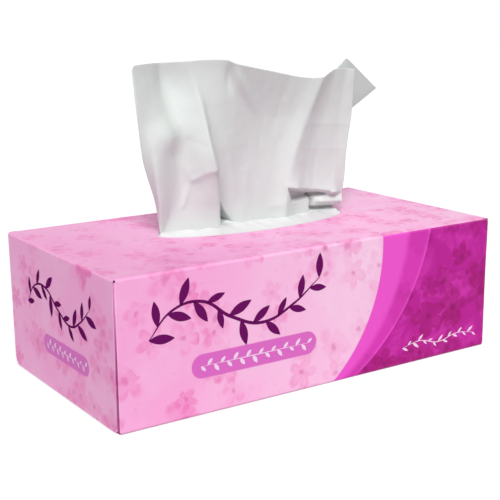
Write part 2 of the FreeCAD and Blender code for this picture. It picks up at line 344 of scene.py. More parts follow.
# %% Colours and shapes of the print, in millimetres on the front panel
PALE = srgb(250, 207, 234)
PINK = srgb(249, 170, 219)
ROSE = srgb(238, 112, 184)
CERISE = srgb(214, 84, 160)
MAGENTA = srgb(237, 84, 204)
ORCHID = srgb(218, 56, 182)
DEEP = srgb(186, 26, 148)
WINE = srgb(158, 4, 108)
DARK_WINE = srgb(124, 0, 80)
DUSTY_ROSE = srgb(206, 124, 172)
MAUVE = srgb(220, 106, 196)
PLUM = srgb(106, 20, 94)
BOARD_WHITE = srgb(238, 232, 234)
FIELD_EDGES = (
    # middle, radius and blur of the edge, and the colour outside it
    ((-48.2, 67.8), 87.3, 0.35, MAGENTA),
    ((-44.0, 83.0), 101.5, 2.5, ORCHID),
    ((-34.7, 93.1), 107.7, 0.7, MAGENTA),
    ((-34.7, 93.1), 108.6, 0.6, DEEP),
)
FRONT_BAR = ((-70.0, -9.5), 24.4, 6.0)
END_BAR = ((-14.2, 28.2), 24.0, 4.9)
EDGE_BLUR = 0.35


def inside_circle(tree, across, up, middle, radius, blur):
    """1 inside a circle, 0 outside, with a soft edge."""
    offsets = [calc(tree, "SUBTRACT", value, centre)
               for value, centre in zip((across, up), middle)]
    return step(tree, distance(tree, *offsets), radius + blur, radius - blur)


def inside_bar(tree, across, up, ends, level, radius):
    """1 inside a bar with round ends."""
    nearest = calc(tree, "MINIMUM", calc(tree, "MAXIMUM", across, ends[0]), ends[1])
    offsets = calc(tree, "SUBTRACT", across, nearest), calc(tree, "SUBTRACT", up, level)
    return step(tree, distance(tree, *offsets), radius + EDGE_BLUR, radius - EDGE_BLUR)


# %% [markdown]
# The print is laid on in the order of a printer's plates: the pink ground with
# its blossoms and dry flecks, the fields on the right of the front, and the
# bars. Last comes what folding does to it: worn edges, painted shade in the
# gap beside the end flaps, and bare board wherever the sheet was cut or not
# printed.

# %% Pink ground with blossoms
# Millimetres where a change begins and ends, then its shares there.
PALER_RIGHTWARDS = (-90.0, 30.0, 0.0, 0.75)
PALER_OVER_TOP = (-80.0, 20.0, 0.0, 0.3)
DUSTY_LEFTWARDS = (-20.0, -110.0, 0.0, 0.24)
LOW_CORNER = ((-78.0, -100.0), (34.0, 16.0))
# Scale, detail and roughness of the noises, then the levels between which each one shows.
WET = ((0.018, 3.0, 0.6), (0.42, 0.66, 0.0, 0.3))
PATCHES = ((0.06, 3.0, 0.6), (0.38, 0.62, 0.25, 1.0))
FLECKS = ((0.24, 4.0, 0.65), (0.57, 0.70))
FLECK_SQUEEZE = 0.8  # below 1 the flecks are longer round the carton than along it
FLECKS_ON_TOP, FLECKS_ELSEWHERE = 0.5, 0.2
HEART_INK = 0.45


def pink_ground(tree, at):
    """The pink ground, and how pale it is at every place."""
    rightwards = times(tree, step(tree, at.x, *PALER_RIGHTWARDS), at.front)
    over_top = times(tree, step(tree, at.x, *PALER_OVER_TOP), at.top)
    paleness = calc(tree, "ADD", rightwards, patchy(tree, at.sheet, *WET), clamp=True)
    paleness = calc(tree, "ADD", paleness, over_top, clamp=True)
    return blend(tree, paleness, PINK, PALE), paleness


def pink_print(tree, at, washes):
    """The pink ground with blossoms, dry flecks of a darker ink, and a dusty tint on the top."""
    colour, paleness = pink_ground(tree, at)
    patches = patchy(tree, at.sheet, *PATCHES)
    boldness = times(tree, step(tree, paleness, 0.0, 1.0, 1.0, 0.5), patches)
    low_corner = times(tree, at.front, step(tree, at.x, *LOW_CORNER[0]),
                       step(tree, at.z, *LOW_CORNER[1]))
    boldness = calc(tree, "MAXIMUM", boldness, low_corner)
    for wash, heart in washes[:2]:
        colour = blend(tree, times(tree, wash, boldness), colour, ROSE)
        colour = blend(tree, times(tree, heart, HEART_INK), colour, CERISE)
    along, round_it = at.flat
    drawn_out = pair(tree, along, times(tree, round_it, FLECK_SQUEEZE))
    where = calc(tree, "MULTIPLY_ADD", at.top, FLECKS_ON_TOP, FLECKS_ELSEWHERE)
    flecks = times(tree, patchy(tree, drawn_out, *FLECKS), where, patches)
    colour = blend(tree, flecks, colour, CERISE)
    dusty = times(tree, step(tree, at.x, *DUSTY_LEFTWARDS), at.top)
    return blend(tree, dusty, colour, DUSTY_ROSE)


# %% Fields and bars
VEIL = ((0.07, 3.0, 0.6, 0.6), (0.42, 0.64, 0.0, 0.6))
DEEP_WASH, BAND_WASH, DEEP_HEARTS = 0.68, 0.3, 0.5


def with_fields(tree, at, colour, washes):
    """The curved fields on the right of the front, with blossoms in wine red."""
    right_half = times(tree, at.front, calc(tree, "GREATER_THAN", at.x, 0.0))
    shares = []
    for middle, radius, blur, field in FIELD_EDGES:
        inside = inside_circle(tree, at.x, at.z, middle, radius, blur)
        shares.append(times(tree, calc(tree, "SUBTRACT", 1.0, inside), right_half))
        colour = blend(tree, shares[-1], colour, field)
    band, deep = shares[1], shares[-1]
    colour = blend(tree, times(tree, deep, patchy(tree, at.sheet, *VEIL)), colour, ORCHID)
    strength = calc(tree, "MULTIPLY_ADD", deep, DEEP_WASH, times(tree, band, BAND_WASH))
    for wash, heart in washes:
        colour = blend(tree, times(tree, strength, wash), colour, WINE)
        colour = blend(tree, times(tree, deep, heart, DEEP_HEARTS), colour, DARK_WINE)
    return colour


def with_bars(tree, at, colour):
    """The rounded bars on the front and on both ends."""
    on_the_end = times(tree, at.y, calc(tree, "SIGN", at.x))
    bar = times(tree, inside_bar(tree, at.x, at.z, *FRONT_BAR), at.front)
    end_bar = times(tree, inside_bar(tree, on_the_end, at.z, *END_BAR), at.end)
    return blend(tree, calc(tree, "MAXIMUM", bar, end_bar), colour, MAUVE)


# %% Folds, painted shade beside the end flaps, and bare board
WORN = (1.8, 0.1, 0.0, 0.05)  # from so far off an edge to the edge, in millimetres
FLAP_TAPER, FLAP_GAP = 1.1, 0.7
# Painted shade in the gap beside each end flap: how far in from the end it reaches, in millimetres,
# then the heights between which it darkens, and its shares there.
GAP_SHADE_DEPTH = 1.5
GAP_SHADE_DARKNESS = (66.0, 34.0, 0.12, 0.8)
RIM_DEPTH, RIM_MARGIN = 0.5, 2.0


def with_folds(tree, at, colour):
    """Worn folds, painted shade in the gaps beside the end flaps that get narrower downwards, and
    bare board.
    """
    height = HEIGHT / MM
    from_end = calc(tree, "SUBTRACT", HALF_LENGTH / MM, calc(tree, "ABSOLUTE", at.x))
    from_side = calc(tree, "SUBTRACT", HALF_WIDTH / MM, calc(tree, "ABSOLUTE", at.y))
    from_level = calc(tree, "MINIMUM", at.z, calc(tree, "SUBTRACT", height, at.z))
    nearer = calc(tree, "MINIMUM", from_end, from_side)
    further = calc(tree, "MAXIMUM", from_end, from_side)
    from_edge = calc(tree, "MAXIMUM", nearer, calc(tree, "MINIMUM", further, from_level))
    colour = blend(tree, step(tree, from_edge, *WORN), colour, BOARD_WHITE)
    lower = calc(tree, "SUBTRACT", 1.0, times(tree, at.z, 1 / height))
    flap_edge = calc(tree, "MULTIPLY_ADD", lower, FLAP_TAPER, FLAP_GAP)
    # Painted shade: the narrow gap between an end flap's edge and the fold is darkened with plum,
    # more so lower down.
    gap_shade = times(tree, calc(tree, "LESS_THAN", from_side, flap_edge),
                 calc(tree, "LESS_THAN", from_end, GAP_SHADE_DEPTH),
                 *(calc(tree, "SUBTRACT", 1.0, panel) for panel in (at.front, at.back, at.top)),
                 step(tree, at.z, *GAP_SHADE_DARKNESS))
    colour = blend(tree, gap_shade, colour, PLUM)
    upright = calc(tree, "SUBTRACT", 1.0, calc(tree, "ADD", at.top, at.bottom))
    rim = times(tree, calc(tree, "GREATER_THAN", at.z, height - RIM_DEPTH),
                calc(tree, "GREATER_THAN", from_edge, RIM_MARGIN), upright)
    return blend(tree, calc(tree, "MAXIMUM", at.inner, rim), colour, BOARD_WHITE)


# %% Printed board
INK_RUN = 5.0
# Cell size in millimetres, offset of the pattern, and the share of cells that bloom.
BLOSSOM_LAYERS = ((24.0, 3.7, 0.55), (17.0, 11.2, 0.6), (28.0, 21.4, 0.75))
GRAIN_SHARE, GRAIN_DEPTH = 0.25, 0.25 * MM


def printed_board():
    """White board with the whole print, a slight gloss, and a fine grain over long waves."""
    material, tree, shader = new_material("printed_board", 0.45, 0.2)
    at = unfolded(tree)
    ink_places = bent(tree, *at.flat, INK_RUN)
    washes = [blossoms(tree, ink_places, *layer) for layer in BLOSSOM_LAYERS]
    colour = with_fields(tree, at, pink_print(tree, at, washes), washes)
    colour = with_folds(tree, at, with_bars(tree, at, colour))
    feed(tree, colour, shader.inputs["Base Color"])
    place = pair(tree, at.x, at.y, at.z)
    grain = times(tree, cloud(tree, place, 1.3, 3.0), GRAIN_SHARE)
    add_bump(tree, shader, calc(tree, "ADD", grain, cloud(tree, place, 0.035, 1.0)), GRAIN_DEPTH)
    print("nodes in the printed board:", len(tree.nodes))
    return material


def dress(name, material):
    """Gives one of the frame's nodes a material in every slot."""
    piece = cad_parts[name]
    piece.data.materials.clear()
    piece.data.materials.append(material)
    print(name, "is dressed in", material.name)


dress("carton", printed_board())

# %% [markdown]
# The block of tissues inside shows only as fine level lines where the slit
# opens a little. Its solid is right as it is, so it only gets paper.

# %% Tissue paper
MOTTLE_SCALE, CREPE_SCALE, LEAF_SCALE = 260.0, 900.0, 320.0
CREPE_DEPTH = 0.05 * MM


def tissue_paper(name, leaves):
    """Soft white paper. With leaves it has the level lines of a stack."""
    material, tree, shader = new_material(name, 0.6, 0.6)
    place = tree.nodes.new("ShaderNodeTexCoord").outputs["Object"]
    mottle = cloud(tree, place, MOTTLE_SCALE, 3.0)
    white = blend(tree, mottle, srgb(205, 211, 208), srgb(210, 215, 212))
    feed(tree, white, shader.inputs["Base Color"])
    shader.inputs["Sheen Weight"].default_value = 0.12
    shader.inputs["Sheen Roughness"].default_value = 0.5
    crepe = cloud(tree, place, CREPE_SCALE)
    if leaves:
        lines = tree.nodes.new("ShaderNodeTexWave")
        lines.bands_direction = "Z"
        lines.inputs["Scale"].default_value = LEAF_SCALE
        feed(tree, place, lines.inputs["Vector"])
        crepe = lines.outputs["Fac"]
    add_bump(tree, shader, crepe, CREPE_DEPTH)
    return material


dress("tissue_stack", tissue_paper("stacked_paper", True))

# %% [markdown]
# The standing tissue is one soft sheet. What the eye reads is its folds, so
# it is drawn the way a pattern cutter would note it: fold lines from the slit
# up to the free edge, each with its place along the slit, and how far it
# stands in front of (-) or behind the slit's line, at five levels. Between
# the lines the paper is taut, and at each line it turns over a soft or a
# sharp crease. Both steps are weights, so the whole sheet is one product of
# small tables. The frame's own solid has the main ones of these folds, rougher.

# %% Fold lines of the standing tissue, in millimetres
LEVELS = (0.0, 0.2, 0.45, 0.7, 1.0)
SLIT_FOOT = 74.2
# name, places along the slit, places behind its line, height of the free edge, softness
FOLD_LINES = (
    ("left hem", (-53.8, -57.2, -62.9, -66.2, -67.1), (1.5, 0, 0.5, -1, 2), 160.0, 0.3),
    ("left strip", (-52.8, -56.6, -58.3, -55.5, -54.5), (1.8, -4.5, -7, 0, 5.5), 160.6, 0.9),
    ("left valley", (-50.3, -43.2, -40.6, -45.0, -47.8), (2, 1.5, 2, 3.5, 8.5), 160.4, 0.6),
    ("left ridge", (-19.8, -23.2, -28.6, -30.6, -35.2), (-3, -5, -9.5, -6, 1), 161.1, 0.2),
    ("tuck", (-13.0, -16.7, -23.3, -26.1, -29.4), (6, -1, -5, -3, 0), 161.5, 0.7),
    ("middle left", (-5.4, -7.9, -11.5, -14.7, -17.0), (0.5, -1, -2, -4, -7), 161.6, 0.9),
    ("middle", (1.1, 0.8, 0.6, -1.6, -13.9), (0.5, -0.5, -0.5, -2.5, -10.5), 159.2, 0.9),
    ("middle right", (7.6, 8.3, 10.7, 11.5, 6.2), (0.5, -0.5, 0, -1.5, -9), 155.2, 1.0),
    ("right slope", (17.5, 17.1, 19.8, 23.7, 30.2), (0.3, -1, -1.5, -2.5, -9), 150.0, 0.9),
    ("right ridge", (22.4, 22.7, 26.7, 33.0, 40.4), (-3, -5, -6, -8, -13), 150.0, 0.3),
    ("right valley", (32.8, 35.6, 39.8, 45.0, 49.5), (1, -0.5, -2.5, -4.5, -10), 154.0, 0.9),
    ("right panel", (46.1, 47.7, 50.0, 53.4, 55.5), (1, -1, -3, -5, -10), 154.2, 1.0),
    ("right strip", (55.0, 56.0, 56.4, 58.4, 59.0), (0, -2, -3.5, -5.5, -9.5), 153.8, 0.9),
    ("right fold", (59.8, 61.8, 62.2, 63.9, 62.6), (-1, -4, -6, -8, -11.5), 153.2, 0.15),
    ("turned back", (57.0, 57.5, 58.5, 62.2, 61.0), (1, 0, -3, -6.1, -6.7), 152.0, 0.3),
)
CORNER_ROUND = 2.2
COLUMNS_A_FOLD = 18
ROWS_STANDING = 160
PLY = 0.16 * MM
print(len(FOLD_LINES), "fold lines")

# %% Weights that turn the fold lines into a surface


def fold_weights(softness, columns_each):
    """A row of weights on the fold lines for every column: straight between, rounded at a line."""
    count = len(softness)
    stations = np.linspace(0, count - 1, (count - 1) * columns_each + 1)
    weights = np.zeros((len(stations), count))
    for row, q in zip(weights, stations):
        near = int(round(q))
        reach = softness[near] / 2
        if 0 < near < count - 1 and abs(q - near) < reach:
            t = (q - near + reach) / (2 * reach)
            sides = ((1 - t) ** 2 * reach, t ** 2 * reach)
            row[near - 1], row[near + 1] = sides
            row[near] = 1 - sum(sides)
        else:
            left = min(int(q), count - 2)
            row[left], row[left + 1] = left + 1 - q, q - left
    return weights


def level_weights(levels, rows):
    """Weights on the levels for every row, along a smooth curve through all of them."""
    weights = np.zeros((rows, len(levels)))
    known = np.eye(len(levels))
    slopes = np.gradient(known, np.array(levels), axis=0)
    for row, v in zip(weights, np.linspace(0, 1, rows)):
        i = min(int(np.searchsorted(levels, v, side="right")) - 1, len(levels) - 2)
        span = levels[i + 1] - levels[i]
        t = (v - levels[i]) / span
        row[:] = (
            (2 * t ** 3 - 3 * t ** 2 + 1) * known[i] + (t ** 3 - 2 * t ** 2 + t) * span * slopes[i]
            + (3 * t ** 2 - 2 * t ** 3) * known[i + 1] + (t ** 3 - t ** 2) * span * slopes[i + 1]
        )
    return weights


_, along_table, behind_table, free_edge, softness = zip(*FOLD_LINES)
ACROSS = fold_weights(softness, COLUMNS_A_FOLD)
UPWARDS = level_weights(LEVELS, ROWS_STANDING)
print("columns, rows:", ACROSS.shape[0], UPWARDS.shape[0])

# %% The standing part


def standing_part():
    """Places of the sheet above the slit: columns, rows, and x, y, z in metres."""
    along = ACROSS @ np.array(along_table, float) @ UPWARDS.T
    behind = ACROSS @ np.array(behind_table, float) @ UPWARDS.T
    top = ACROSS @ np.array(free_edge, float)
    to_hem = np.clip(1 - (along[:, -1] - along[0, -1]) / CORNER_ROUND, 0, 1)
    top -= CORNER_ROUND * (1 - np.sqrt(1 - to_hem ** 2))
    share = np.linspace(0, 1, ROWS_STANDING)
    up = SLIT_FOOT + (top[:, None] - SLIT_FOOT) * share[None, :]
    return np.stack((along, behind + SLOT_MIDDLE.y / MM, up), axis=2) * MM


standing = standing_part()
foot_line = standing[:, 0, :]
print("foot, mm:", [round(float(v) / MM) for v in (foot_line[0, 0], foot_line[-1, 0])])

# %% [markdown]
# Below the slit the sheet turns back over the block of tissues and fans out
# to its full width, and its end doubles back above itself. Nobody sees it,
# but the sheet then has the area of a real one.

# %% The part that lies inside the carton
_, stack_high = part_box("tissue_stack")
LIE_LEVEL = stack_high[2] + 0.35 * MM
BEND = 2.2 * MM
BEND_START = 20  # degrees
INSET = 1.5 * MM
LIE_BACK = stack_high[1] - INSET
DOUBLED_FRONT = SLOT_MIDDLE.y + 8 * MM
DOUBLED_LIFT = 0.8 * MM
DOUBLED_ROWS, LYING_ROWS, BEND_ROWS = 6, 7, 5


def row_of(x, y, z):
    """One row of places. Each value is one number for all of them, or one for each."""
    return np.stack(np.broadcast_arrays(x, y, z), axis=1)


def lying_part():
    """Rows of the sheet from its hidden end to just under the slit."""
    spread = np.linspace(-1, 1, len(foot_line)) * (stack_high[0] - INSET)
    foot_x, foot_y = foot_line[:, 0], foot_line[:, 1]
    rows = [
        row_of(spread, DOUBLED_FRONT + (LIE_BACK - DOUBLED_FRONT) * t, LIE_LEVEL + DOUBLED_LIFT)
        for t in np.linspace(0, 1, DOUBLED_ROWS)
    ]
    back, front = row_of(spread, LIE_BACK, LIE_LEVEL), row_of(foot_x, foot_y + BEND, LIE_LEVEL)
    rows += [back + (front - back) * t for t in np.linspace(0, 1, LYING_ROWS)]
    rows += [
        row_of(foot_x, foot_y + BEND * (1 - np.sin(angle)), LIE_LEVEL + BEND * (1 - np.cos(angle)))
        for angle in np.radians(np.linspace(BEND_START, 90, BEND_ROWS))
    ]
    return np.stack(rows, axis=1)


# %% [markdown]
# Folds alone look like cloth. Paper also shows short sharp creases that cross
# the folds, soft hollows where it was pressed, and dark pockets at its foot.
# Each is a small push backwards or forwards, worked out for every place of
# the sheet and added up, so that they can lie over one another.

# %% Creases that cross the folds
# Each runs through a few places (along the slit, height). Its depth is how far the paper comes
# forward (-) or goes back there; then how quickly that fades on its left and on its right.
CREASES = (
    ("overhang", ((-21.0, 107.0), (-32.0, 104.5), (-39.0, 99.5)), -1.7, 2.2, 8),
    ("sliver", ((-35.8, 104.0), (-38.2, 94.6), (-41.5, 84.0)), -0.9, 0.8, 1.2),
    ("fold over the cuff", ((62.0, 84.6), (39.2, 86.3), (20.5, 91.5)), -4.5, 0.6, 9),
    ("cuff roll", ((42.6, 80.2), (74.0, 78.4)), -3.8, 3.0, 0.9),
    ("upper emboss", ((30.0, 125.5), (70.0, 122.5)), -0.16, 1.2, 1.4),
    ("lower emboss", ((30.0, 111.7), (70.0, 108.4)), -0.14, 1.3, 1.1),
    ("dent", ((-40.0, 123.0), (-30.0, 117.0)), 0.3, 1.5, 3),
)
CREASE_ROUND = 0.3
CREASE_END = 0.2


def smooth(t):
    """Turns a straight ramp from 0 to 1 into one with soft ends."""
    return t * t * (3 - 2 * t)


def crease(along, up, path, depth, left, right):
    """Depth of one crease at every place of the sheet; travelling its path gives left and right."""
    nearest = np.full(along.shape, np.inf)
    side = np.zeros(along.shape)
    passed = np.zeros(along.shape)
    path = np.array(path, float)
    lengths = np.hypot(*np.diff(path, axis=0).T)
    starts = np.concatenate(([0.0], np.cumsum(lengths)))
    for (x0, z0), (x1, z1), length, start in zip(path, path[1:], lengths, starts):
        dx, dz = (x1 - x0) / length, (z1 - z0) / length
        t = np.clip((along - x0) * dx + (up - z0) * dz, 0, length)
        away = np.hypot(along - x0 - t * dx, up - z0 - t * dz)
        closer = away < nearest
        nearest = np.where(closer, away, nearest)
        side = np.where(closer, dx * (up - z0) - dz * (along - x0), side)
        passed = np.where(closer, (start + t) / starts[-1], passed)
    taper = smooth(np.clip(np.minimum(passed, 1 - passed) / CREASE_END, 0, 1))
    rounded = np.hypot(nearest, CREASE_ROUND) - CREASE_ROUND
    return depth * taper * np.exp(-rounded / np.where(side > 0, left, right))


print("named creases:", len(CREASES))

# %% Swells, hollows and pockets
# Soft hollows (+) and swells (-): middle, half sizes, turn in degrees, depth.
SWELLS = (
    ("over the valley", (-48.0, 125.0), (8.0, 7.5), -30, -4.0),
    ("top curl", (-42.0, 165.0), (30.0, 8.0), 0, -2.2),
    ("peak, dark", (-14.5, 154.0), (2.4, 9.0), 3, 2.0),
    ("peak, light", (-5.8, 146.0), (2.6, 15.0), 37, -1.5),
    ("bright band, low", (-31.0, 104.0), (7.0, 17.0), 15, -3.0),
    ("bright band, high", (-42.0, 148.0), (9.0, 12.0), 15, 3.0),
    ("low flap", (-29.0, 91.0), (8.0, 6.0), -20, -1.0),
    ("right foot", (18.0, 81.0), (4.5, 4.0), 0, -0.9),
)


def swell(along, up, middle, sizes, turn, depth):
    """Depth of one soft swell at every place of the sheet."""
    turn = math.radians(turn)
    across, above = along - middle[0], up - middle[1]
    a = (across * math.cos(turn) + above * math.sin(turn)) / sizes[0]
    b = (above * math.cos(turn) - across * math.sin(turn)) / sizes[1]
    return depth * np.exp(-a * a - b * b)


# Dark pockets: their corners, anticlockwise, how deep they are, and the width of their edge.
POCKETS = (
    ("foot of the left ridge", ((-19.5, 86.5), (-18.6, 75.2), (-9.4, 75.0)), 11.0, 1.2),
    ("under the cuff's fold", ((23.4, 90.2), (28.0, 82.0), (51.0, 83.8), (51.0, 85.6)), 5.0, 2.5),
    ("beside the cuff", ((41.3, 85.5), (41.5, 74.6), (43.3, 74.6), (43.1, 85.5)), 9.0, 0.8),
    ("under the cuff", ((43.5, 77.4), (43.5, 74.6), (70.0, 74.6), (70.0, 76.4)), 5.0, 0.9),
)
POCKET_SPREAD = 0.4


def pocket(along, up, corners, depth, edge):
    """How far the paper is pushed back inside one pocket."""
    inside = np.full(along.shape, np.inf)
    for (x0, z0), (x1, z1) in zip(corners, corners[1:] + corners[:1]):
        length = math.hypot(x1 - x0, z1 - z0)
        inside = np.minimum(inside, ((x1 - x0) * (up - z0) - (z1 - z0) * (along - x0)) / length)
    return depth * smooth(np.clip(inside / edge + POCKET_SPREAD, 0, 1))


print("swells:", len(SWELLS), "pockets:", len(POCKETS))

# %% The wrinkled sheet
FAINT_CREASES, FAINT_SEED = 70, 5
FAINT_STARTS = ((-58, 60), (76, 140))
FAINT_LEAN, FAINT_SCATTER = 0.004, 0.22
FAINT_RISE, FAINT_DEPTH, FAINT_FADE = (12, 45), (-0.24, 0.24), (1.5, 6)
CRUMPLE_WIDTH, CRUMPLE_HEIGHT, CRUMPLE_DEPTH = 5, 8, 0.12
FOOT_STILL, FOOT_BLEND = 0.5, 6


def faint_creases():
    """Soft creases that fan out from the slit, as in paper that was folded and pulled."""
    chance = random.Random(FAINT_SEED)
    for _ in range(FAINT_CREASES):
        x0, z0 = (chance.uniform(*limits) for limits in FAINT_STARTS)
        lean = chance.gauss(x0 * FAINT_LEAN, FAINT_SCATTER)
        rise = chance.uniform(*FAINT_RISE)
        path = ((x0, z0), (x0 + lean * rise, z0 + rise))
        yield path, *(chance.uniform(*limits) for limits in (FAINT_DEPTH, FAINT_FADE, FAINT_FADE))


def wrinkled(places):
    """The sheet with its creases, swells and pockets, the faint creases and a fine crumple."""
    along, up = places[:, :, 0] / MM, places[:, :, 2] / MM
    depth = np.zeros(along.shape)
    for _, *form in CREASES:
        depth += crease(along, up, *form)
    for _, *form in SWELLS:
        depth += swell(along, up, *form)
    for form in faint_creases():
        depth += crease(along, up, *form)
    crumple = [noise.noise(Vector((x / CRUMPLE_WIDTH, 7.7, z / CRUMPLE_HEIGHT)))
               for x, z in zip(along.ravel(), up.ravel())]
    depth += CRUMPLE_DEPTH * np.array(crumple).reshape(along.shape)
    depth *= np.clip((up - SLIT_FOOT - FOOT_STILL) / FOOT_BLEND, 0, 1)
    for _, *form in POCKETS:
        depth += pocket(along, up, *form)
    moved = places.copy()
    moved[:, :, 1] += depth * MM
    return moved


tissue_places = np.concatenate((lying_part(), wrinkled(standing)), axis=1)
print("tissue grid:", tissue_places.shape[:2])

# %% [markdown]
# A grid of places becomes a mesh when every four neighbours get a face. The
# paper's thickness is left to a Solidify modifier. The modifier is worked into
# the mesh at once, so that the mesh itself holds what is seen.

# %% Meshes from grids of places


def grid_mesh(name, places, flip=False):
    """A mesh of four-sided faces over a grid of places."""
    columns, rows = places.shape[:2]
    faces = []
    for c in range(columns - 1):
        for r in range(rows - 1):
            here, beside = c * rows + r, (c + 1) * rows + r
            face = (here, beside, beside + 1, here + 1)
            faces.append(face[::-1] if flip else face)
    mesh = bpy.data.meshes.new(name)
    mesh.from_pydata([tuple(p) for p in places.reshape(-1, 3)], [], faces)
    mesh.shade_smooth()
    return placed(name, mesh)


def join(pieces, name):
    """Joins mesh objects into one."""
    target = pieces[0]
    with bpy.context.temp_override(active_object=target, selected_editable_objects=pieces):
        bpy.ops.object.join()
    target.name = target.data.name = name
    return target


def worked_in(piece):
    """The piece's mesh with its modifiers worked into it."""
    evaluated = piece.evaluated_get(bpy.context.evaluated_depsgraph_get())
    return bpy.data.meshes.new_from_object(evaluated)


def thicken(piece, thickness):
    """Gives a sheet its thickness, half of it to each side."""
    solidify = piece.modifiers.new("thickness", "SOLIDIFY")
    solidify.thickness = thickness
    solidify.offset = 0
    mesh = worked_in(piece)
    piece.modifiers.clear()
    piece.data = mesh
    print(piece.name, "faces:", len(mesh.polygons))


# %% [markdown]
# The tissue's last corner is folded behind the sheet at the top right. It
# starts from the upper part of the turned back edge. Its point and its spike
# stand out beyond the fold, facing away from the light, so that they are the
# greyest part of the tissue.

# %% The corner that is folded behind
CORNER = {
    # share of the fold's length, then along the slit, behind its line, and height
    "low end of the fold": (0, (69.3, -2.5, 131.6)),
    "point": (0.45, (98.1, 12.0, 139.7)),
    "spike": (0.85, (61.2, -6.2, 159.4)),
    "end behind the sheet": (1, (48.0, -9.4, 150.5)),
}
CORNER_LOW_END = 131.0 * MM
CORNER_COLUMNS = 26


def folded_corner():
    """A sheet from the turned back edge out to the corner's free edges."""
    fold = tissue_places[-1]
    fold = fold[fold[:, 2] > CORNER_LOW_END]
    shares, outer = zip(*CORNER.values())
    outer = np.array(outer) * MM + np.array((0, SLOT_MIDDLE.y, 0))
    along = np.linspace(0, 1, len(fold))
    rim = np.stack([np.interp(along, shares, places) for places in outer.T], axis=1)
    out = np.linspace(0, 1, CORNER_COLUMNS)[:, None, None]
    return (1 - out) * fold + out * rim


print("corner's places:", ", ".join(CORNER))

# %% The finished sheet
tissue = join([grid_mesh("standing_tissue", tissue_places),
               grid_mesh("folded_corner", folded_corner())], "standing_tissue")
thicken(tissue, PLY)
tissue.data.materials.append(tissue_paper("soft_tissue", False))
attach(tissue, "root")
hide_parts("top_tissue")

# %% [markdown]
# The film is a thin milky plastic, glued under the board round the slot and
# slit lengthwise. It rises a little to the slit, where its two lips lie
# against the tissue and follow its folds. Fine creases fan out from the lips.

# %% Film with its two lips
FILM_GAUGE = 0.1 * MM
FILM_LEVEL = HEIGHT - BOARD - FILM_GAUGE
FILM_MARGIN = 10 * MM
MARGIN_SQUARENESS = 0.3
SLIT_HALF = SLOT_HALF[0] - 0.8 * MM
SLIT_TAPER = 2 * MM
LIP_GAP = 0.35 * MM
FILM_RISE = 1.6 * MM
END_RISE = 0.35  # share of the rise at the slit's ends
FAN_WIDTH, FAN_DEPTH = 5.0 * MM, 0.5 * MM
FILM_COLUMNS = 240
MARGIN_ROWS, FILM_ROWS = 4, 30


def film_half(side):
    """One half of the film, from under the board (first row) to the lip (last row)."""
    turn = np.linspace(math.pi, 0, FILM_COLUMNS) * -side

    def outline(margin, power):
        """An oval, or a rounder rectangle, that far outside the slot's edge."""
        sides = zip(SLOT_MIDDLE, SLOT_HALF, (np.cos(turn), np.sin(turn)))
        return np.stack([middle + (half + margin) * np.sign(share) * np.abs(share) ** power
                         for middle, half, share in sides], axis=1)

    edge, rim = outline(0, 1), outline(FILM_MARGIN, MARGIN_SQUARENESS)
    lip_x = SLOT_MIDDLE.x + SLIT_HALF * np.cos(turn)
    follow = np.interp(lip_x, foot_line[:, 0], foot_line[:, 1])
    ends = np.clip((SLIT_HALF - np.abs(lip_x - SLOT_MIDDLE.x)) / SLIT_TAPER, 0, 1)
    lip_y = SLOT_MIDDLE.y + (follow + side * LIP_GAP - SLOT_MIDDLE.y) * ends
    lip = np.stack((lip_x, lip_y), axis=1)
    rows = []
    for t in np.arange(MARGIN_ROWS) / MARGIN_ROWS:
        rows.append(row_of(*(rim + (edge - rim) * t).T, FILM_LEVEL))
    for t in np.linspace(0, 1, FILM_ROWS):
        fan = [noise.noise(Vector((x / FAN_WIDTH, t * 0.8, side * 3.0))) for x in lip_x]
        lift = FILM_RISE * smooth(t) * (END_RISE + (1 - END_RISE) * ends)
        lift += np.array(fan) * FAN_DEPTH * t * ends
        rows.append(row_of(*(edge + (lip - edge) * t).T, FILM_LEVEL + lift))
    return np.stack(rows, axis=1)


film = join([grid_mesh("film_front", film_half(-1), flip=True),
             grid_mesh("film_back", film_half(1))], "slit_film")
thicken(film, FILM_GAUGE)


def milky_film():
    """Clear plastic with a thin uneven haze."""
    material, tree, shader = new_material("milky_film", 0.22, 0.6)
    place = tree.nodes.new("ShaderNodeTexCoord").outputs["Object"]
    haze = cloud(tree, place, 90.0, 2.0)
    feed(tree, blend(tree, haze, srgb(238, 238, 240), srgb(246, 246, 246)),
         shader.inputs["Base Color"])
    shader.inputs["Alpha"].default_value = 0.86
    add_bump(tree, shader, cloud(tree, place, 160.0, 2.0), 0.1 * MM)
    return material


film.data.materials.append(milky_film())
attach(film, "root")
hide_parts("film")

# %% [markdown]
# Leafy stems are printed on the front, on both ends and in the bars. One
# Geometry Nodes tree draws them all: a ribbon along a curve, with flat leaves
# that alternate to its left and right. Each stem is then laid on its panel by
# casting rays at the board.

# %% Nodes for geometry, and a ribbon along a path
STEM_TAPER, STEM_END = math.pi * 0.96, 0.06


def geometry_node(tree, kind, mode=None, **inputs):
    """One Geometry Nodes node, with its inputs by name."""
    made = tree.nodes.new("GeometryNode" + kind)
    if mode:
        made.mode = mode
    for name, value in inputs.items():
        feed(tree, value, made.inputs[name.replace("_", " ")])
    return made


def ribbon(tree, path, width, fullness):
    """A flat ribbon along a path that narrows towards both ends."""
    along = geometry_node(tree, "SplineParameter").outputs["Factor"]
    bulge = calc(tree, "SINE", calc(tree, "MULTIPLY_ADD", along, STEM_TAPER, STEM_END))
    thickness = times(tree, calc(tree, "POWER", bulge, fullness), width)
    level = geometry_node(tree, "SetCurveNormal", "Z_UP", Curve=path)
    across = geometry_node(tree, "CurvePrimitiveLine", Start=(-0.5, 0, 0), End=(0.5, 0, 0))
    return geometry_node(tree, "CurveToMesh", Curve=level.outputs[0],
                         Profile_Curve=across.outputs[0], Scale=thickness).outputs[0]


